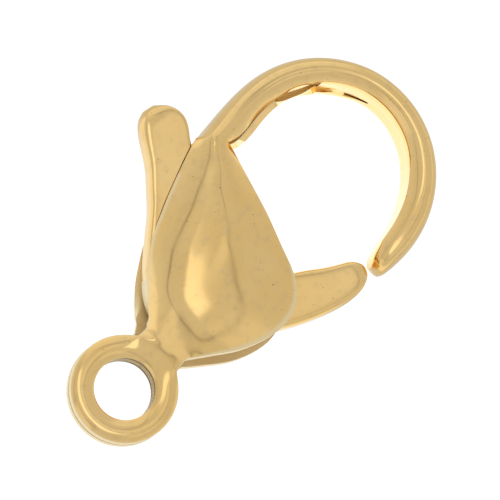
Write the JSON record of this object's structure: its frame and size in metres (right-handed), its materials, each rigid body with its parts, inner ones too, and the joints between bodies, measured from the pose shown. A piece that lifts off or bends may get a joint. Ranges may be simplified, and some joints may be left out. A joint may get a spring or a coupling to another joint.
{
  "type": "lobster clasp",
  "caption": "Gold-coloured lobster clasp for jewellery: a folded teardrop body with a hollow round hook, a flat ring eye and a sprung gate opened by a thumb tab.",
  "frame": {"origin": "middle of the eye's hole, half way through the clasp's thickness", "axes": "+X along the clasp from the eye to the hook, +Y towards the thumb tab, +Z out through the front shell along the eye's hole and the lever's pin"},
  "size_m": [0.0152, 0.0093, 0.0032],
  "materials": {
    "gold_plate": "polished gold-coloured plating over brass sheet",
    "bright_steel": "plain bright steel"
  },
  "bodies": {
    "frame": {"frame": "gold_plate", "pivot_pin": "bright_steel", "spring": "bright_steel"},
    "lever": {"lever": "gold_plate"}
  },
  "joints": [
    {"name": "lever_pivot", "type": "hinge", "parent": "frame", "child": "lever", "pos_m": [0.0039, 0.00047, 0], "axis": [0, 0, 1], "range_deg": [0, 25], "stiffness_Nm_per_rad": 0.005, "springref_deg": -17.19, "deforming": ["spring"]}
  ]
}
